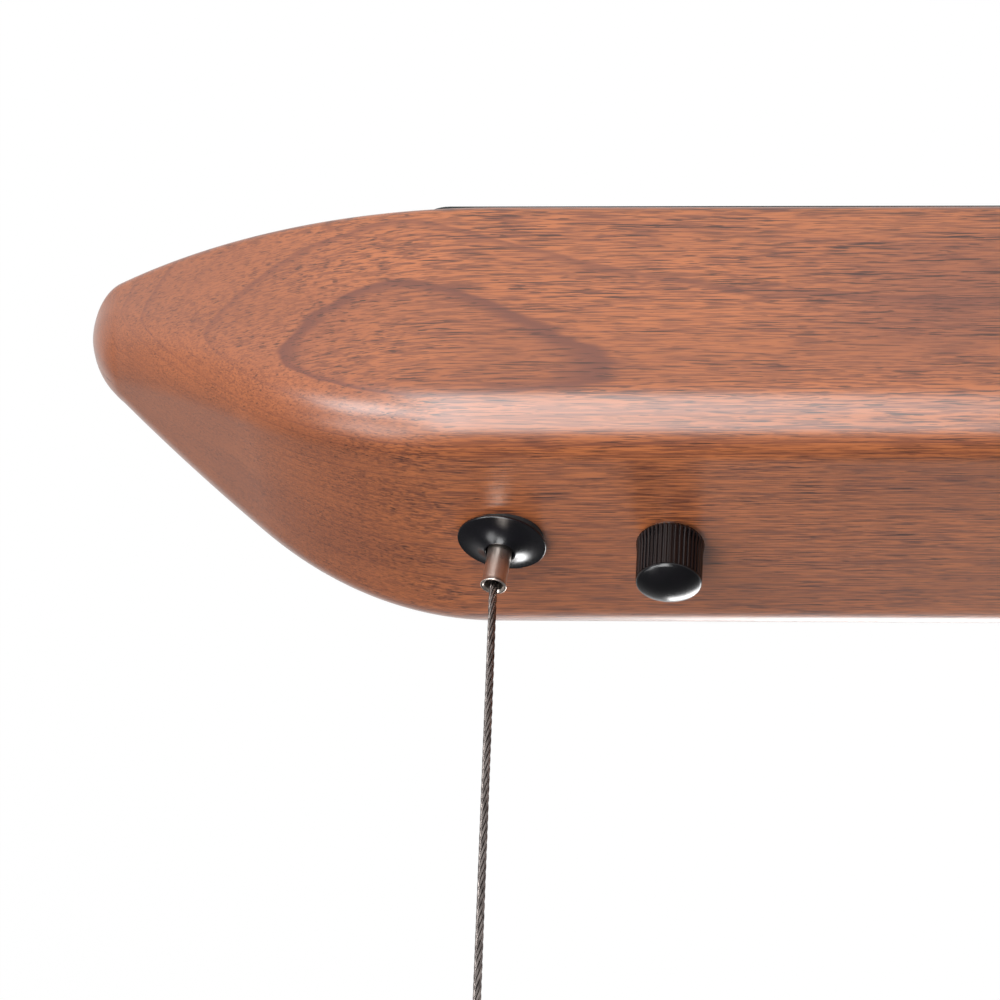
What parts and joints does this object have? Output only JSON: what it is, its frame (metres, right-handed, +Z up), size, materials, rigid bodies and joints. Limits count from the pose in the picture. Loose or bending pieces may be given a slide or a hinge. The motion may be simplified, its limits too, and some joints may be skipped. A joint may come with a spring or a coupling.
{
  "type": "pendant lamp",
  "caption": "Hollow walnut bar lamp with boat-shaped ends, hung level on a pair of steel cables with push-release grippers, and dimmed by a ribbed knob on top.",
  "frame": {"origin": "on the ceiling plane, midway between the two ceiling cups", "axes": "+Z up towards the ceiling, +X along the bar towards the end with the knob"},
  "size_m": [0.5998, 0.068, 0.1872],
  "materials": {
    "walnut": "satin lacquer",
    "black_metal": "satin",
    "zinc_steel": "satin",
    "cable_steel": "satin",
    "brass": "satin",
    "nickel": "polished",
    "spring_steel": "polished",
    "black_gloss": "gloss",
    "die_cast": "satin",
    "phenolic": "matt",
    "rubber": "matt",
    "black_plastic": "matt",
    "tray_black": "anodised satin",
    "board_white": "matt",
    "phosphor": "gloss",
    "opal": "satin",
    "driver_white": "matt",
    "board_green": "satin",
    "coil_tape": "satin",
    "cap_sleeve": "gloss",
    "red_lead": "satin"
  },
  "bodies": {
    "ceiling": {"ceiling_base_left": "zinc_steel", "ceiling_base_right": "zinc_steel", "ceiling_cap_left": "black_metal", "ceiling_cap_right": "black_metal"},
    "suspension": {"cable_left": "cable_steel", "cable_right": "cable_steel", "cable_ball_left": "cable_steel", "cable_ball_right": "cable_steel"},
    "lamp": {"walnut_body": "walnut", "gripper_flange_left": "black_metal", "gripper_flange_right": "black_metal", "gripper_seat_left": "rubber", "gripper_seat_right": "rubber", "gripper_barrel_left": "black_metal", "gripper_barrel_right": "black_metal", "gripper_washer_left": "zinc_steel", "gripper_washer_right": "zinc_steel", "gripper_nut_left": "brass", "gripper_nut_right": "brass", "gripper_plug_left": "brass", "gripper_plug_right": "brass", "gripper_spring_left": "spring_steel", "gripper_spring_right": "spring_steel", "dimmer_bushing": "die_cast", "dimmer_can": "zinc_steel", "dimmer_wafer": "phenolic", "dimmer_tags": "brass", "dimmer_nut": "zinc_steel", "dimmer_washer": "zinc_steel", "gland_body": "black_metal", "gland_bush": "rubber", "gland_nut": "black_plastic", "light_tray": "tray_black", "tray_end_left": "tray_black", "tray_end_right": "tray_black", "led_board": "board_white", "led_chips": "phosphor", "diffuser": "opal", "tray_screws": "zinc_steel", "driver_case": "driver_white", "driver_lid": "driver_white", "driver_board": "board_green", "driver_coil": "coil_tape", "driver_caps": "cap_sleeve", "fixing_screws": "zinc_steel", "terminal_block": "driver_white", "terminal_screws": "zinc_steel", "mains_lead": "red_lead", "dimmer_lead": "black_plastic", "led_lead": "black_plastic"},
    "left_plunger": {"plunger_left": "nickel", "clamp_balls_left": "spring_steel", "ball_carrier_left": "spring_steel"},
    "right_plunger": {"plunger_right": "nickel", "clamp_balls_right": "spring_steel", "ball_carrier_right": "spring_steel"},
    "dimmer": {"knob": "black_gloss", "dimmer_shaft": "die_cast", "dimmer_wiper": "brass"}
  },
  "joints": [
    {"name": "swing", "type": "hinge", "parent": "ceiling", "child": "suspension", "pos_m": [0, 0, -0.019], "axis": [1, 0, 0], "range_deg": [-15, 15]},
    {"name": "height", "type": "slide", "parent": "suspension", "child": "lamp", "axis": [0, 0, 1], "range_m": [0, 0.06], "deforming": ["cable_left", "cable_right"]},
    {"name": "left_release", "type": "slide", "parent": "lamp", "child": "left_plunger", "axis": [0.1045, 0, -0.9945], "range_m": [0, 0.0025], "stiffness_N_per_m": 600, "springref_m": -0.002, "deforming": ["gripper_spring_left"]},
    {"name": "right_release", "type": "slide", "parent": "lamp", "child": "right_plunger", "axis": [-0.1045, 0, -0.9945], "range_m": [0, 0.0025], "stiffness_N_per_m": 600, "springref_m": -0.002, "deforming": ["gripper_spring_right"]},
    {"name": "dimmer_turn", "type": "hinge", "parent": "lamp", "child": "dimmer", "pos_m": [0.1906, 0, -0.135], "axis": [0, 0, 1], "range_deg": [0, 300]}
  ]
}
